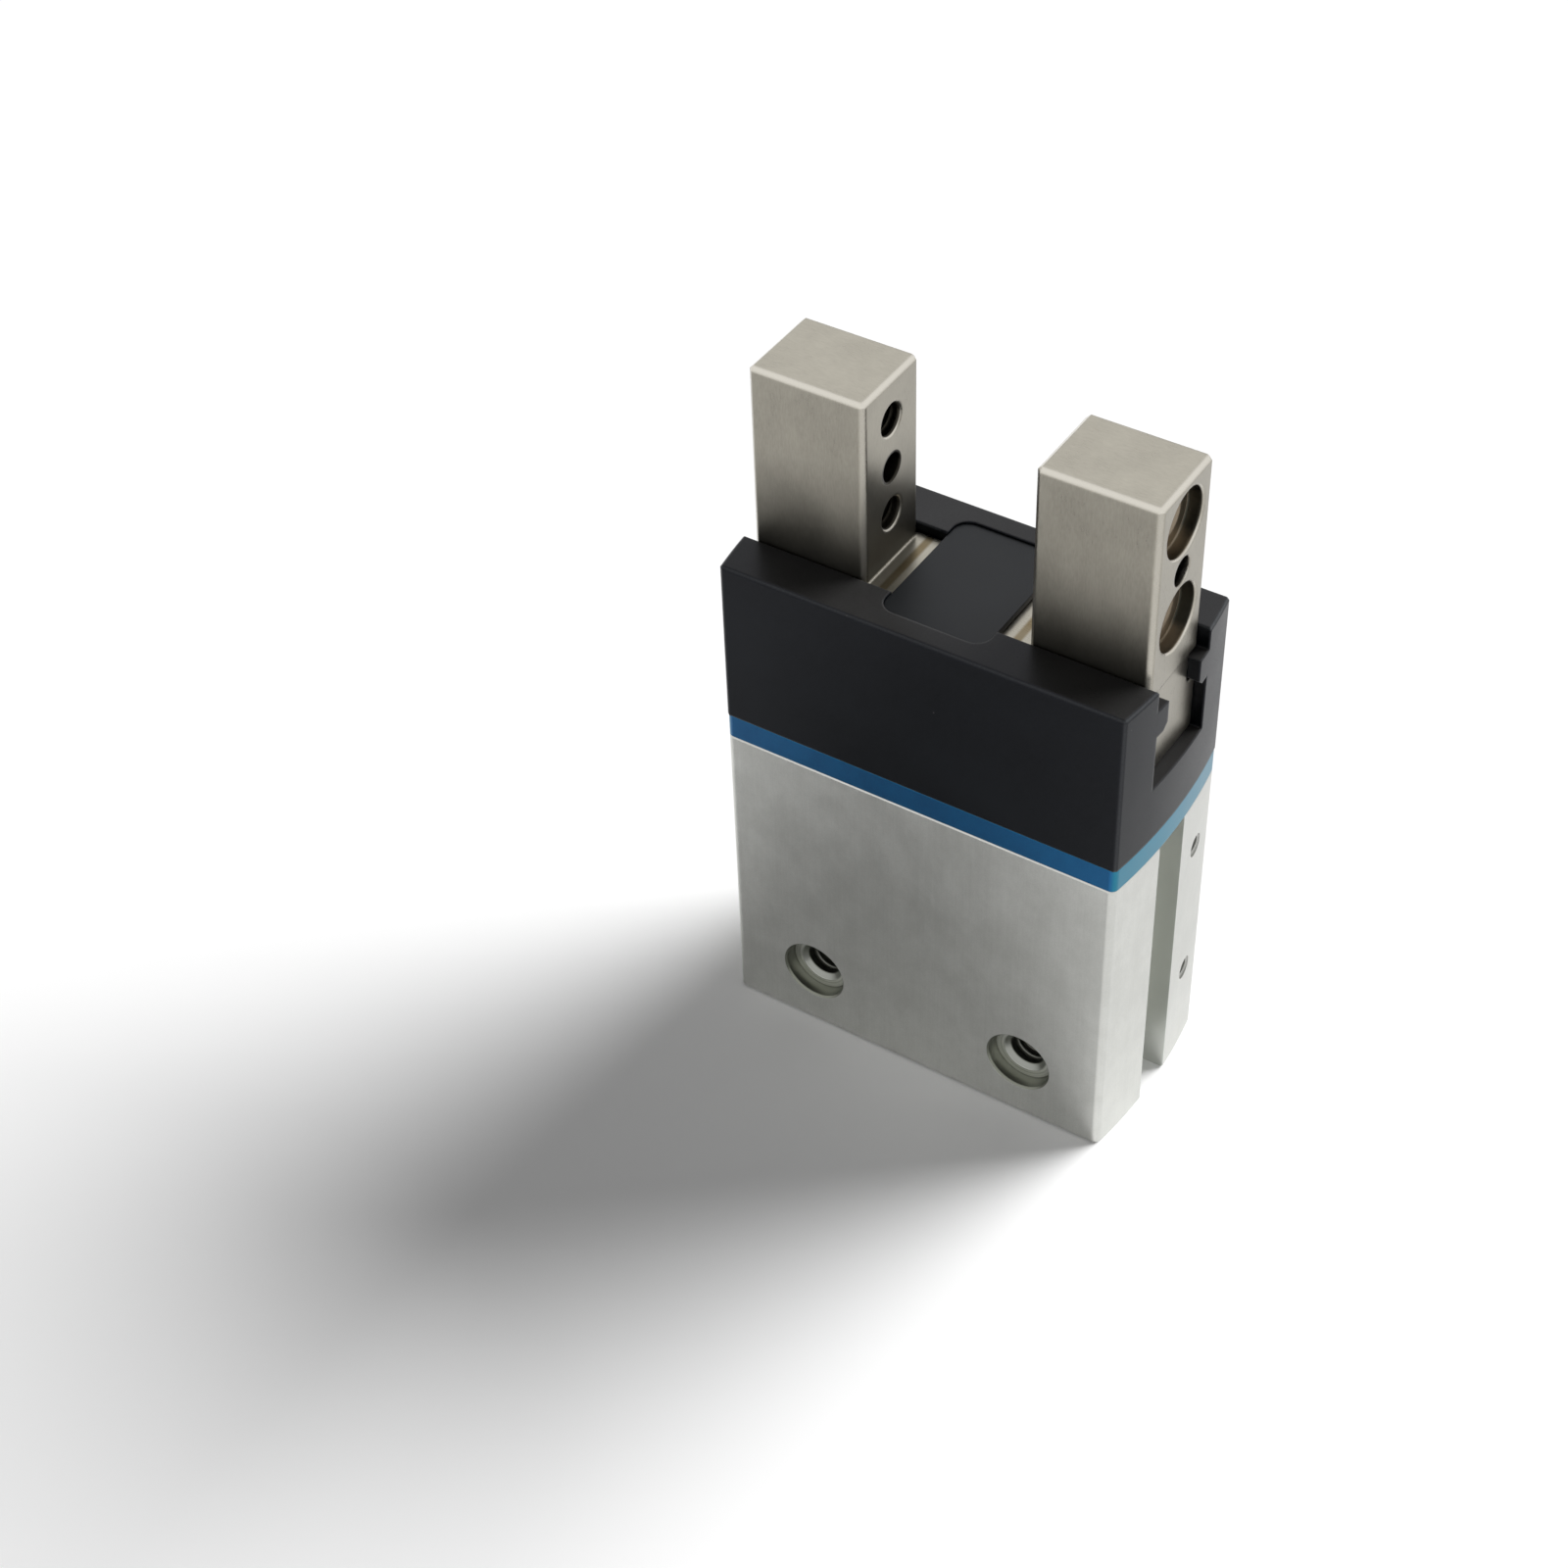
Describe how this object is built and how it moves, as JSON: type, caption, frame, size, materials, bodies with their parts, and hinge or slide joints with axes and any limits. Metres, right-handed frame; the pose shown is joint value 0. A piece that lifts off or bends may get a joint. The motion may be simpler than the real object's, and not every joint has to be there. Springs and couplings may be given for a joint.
{
  "type": "pneumatic parallel gripper",
  "caption": "Compact pneumatic gripper: a piston in an aluminium body drives bell-crank levers that slide steel fingers apart and together in a T-slot cover.",
  "frame": {"origin": "middle of the base that the body stands on", "axes": "+X along the jaws' travel, towards the end with the supply ports; +Z along the fingers, away from the base; -Y is the long side seen in the picture"},
  "size_m": [0.059, 0.027, 0.1011],
  "materials": {
    "clear_anodised_aluminium": "satin",
    "blue_anodised_aluminium": "satin",
    "black_anodised_aluminium": "satin",
    "black_coated_plate": "satin",
    "ground_steel": "ground",
    "hardened_steel": "ground",
    "dark_screw_steel": "blackened",
    "turned_aluminium": "turned",
    "seal_rubber": "matt",
    "guide_plastic": "matt",
    "magnet": "matt",
    "bush_bronze": "turned"
  },
  "bodies": {
    "housing": {"cylinder_body": "clear_anodised_aluminium", "intermediate_plate": "blue_anodised_aluminium", "guide_cover": "black_anodised_aluminium", "centre_plate": "black_coated_plate", "end_cap": "turned_aluminium", "retaining_ring": "dark_screw_steel", "end_cap_seal": "seal_rubber", "plate_seal": "seal_rubber", "lower_bumper": "seal_rubber", "upper_bumper": "seal_rubber", "rod_bush": "bush_bronze", "rod_seal": "seal_rubber", "assembly_screws": "dark_screw_steel", "locating_pins": "hardened_steel", "lever_pivot_pins": "hardened_steel"},
    "right_jaw": {"right_jaw": "ground_steel"},
    "left_jaw": {"left_jaw": "ground_steel"},
    "right_lever": {"right_lever": "hardened_steel"},
    "left_lever": {"left_lever": "hardened_steel"},
    "piston": {"piston": "turned_aluminium", "piston_seals": "seal_rubber", "piston_guide_ring": "guide_plastic", "piston_magnet": "magnet", "piston_rod": "hardened_steel", "piston_screw": "dark_screw_steel", "crosshead": "hardened_steel", "crosshead_screw": "dark_screw_steel"}
  },
  "joints": [
    {"name": "right_jaw_slide", "type": "slide", "parent": "housing", "child": "right_jaw", "axis": [1, 0, 0], "range_m": [-0.0037, 0.0028]},
    {"name": "left_jaw_slide", "type": "slide", "parent": "housing", "child": "left_jaw", "axis": [-1, 0, 0], "range_m": [-0.0038, 0.0029]},
    {"name": "right_lever_pivot", "type": "hinge", "parent": "housing", "child": "right_lever", "pos_m": [0.014, 0, 0.0528], "axis": [0, 1, 0], "range_deg": [-19.4, 14.7]},
    {"name": "left_lever_pivot", "type": "hinge", "parent": "housing", "child": "left_lever", "pos_m": [-0.014, 0, 0.0528], "axis": [0, -1, 0], "range_deg": [-19.4, 14.7]},
    {"name": "piston_slide", "type": "slide", "parent": "housing", "child": "piston", "axis": [0, 0, 1], "range_m": [-0.0031, 0.0024]}
  ],
  "couplings": [
    {"joint": "left_jaw_slide", "follows": "right_jaw_slide", "ratio": 1},
    {"joint": "right_lever_pivot", "follows": "right_jaw_slide", "rad_per_m": 90.909},
    {"joint": "left_lever_pivot", "follows": "right_jaw_slide", "rad_per_m": 90.909},
    {"joint": "piston_slide", "follows": "right_jaw_slide", "ratio": 0.81818}
  ]
}
